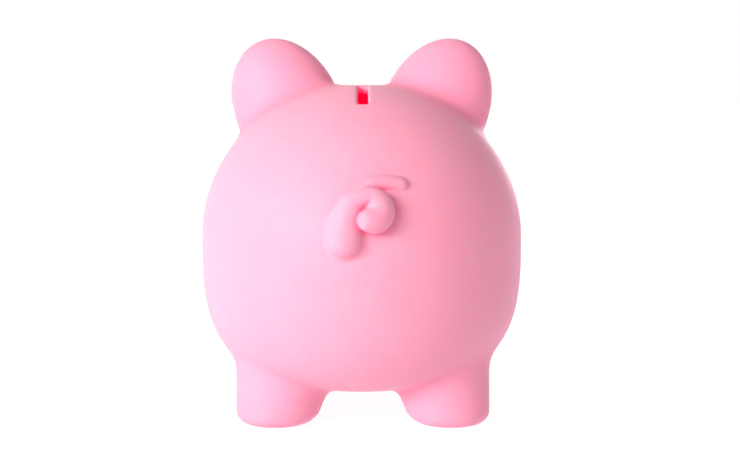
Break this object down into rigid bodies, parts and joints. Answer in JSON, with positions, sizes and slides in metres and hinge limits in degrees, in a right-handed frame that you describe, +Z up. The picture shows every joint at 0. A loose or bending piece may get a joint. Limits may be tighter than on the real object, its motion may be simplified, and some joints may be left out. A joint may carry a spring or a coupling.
{
  "type": "figural coin bank",
  "caption": "Round standing pig coin bank in soft vinyl: hollow skin with a coin slot in the back, curly tail, bead eyes and a pull-out belly stopper.",
  "frame": {"origin": "on the ground, under the middle of the whole object", "axes": "+Z up, -Y towards the snout, +Y towards the tail, +X towards the pig's left side"},
  "size_m": [0.131, 0.1665, 0.1521],
  "materials": {
    "vinyl": "matte soft-touch",
    "stopper_vinyl": "satin",
    "eye_plastic": "high gloss"
  },
  "bodies": {
    "bank": {"body_shell": "vinyl", "tail": "vinyl", "eye_left": "eye_plastic", "eye_right": "eye_plastic"},
    "stopper": {"stopper": "stopper_vinyl"}
  },
  "joints": [
    {"name": "stopper_pull", "type": "slide", "parent": "bank", "child": "stopper", "axis": [0, 0, -1], "range_m": [0, 0.025]}
  ]
}
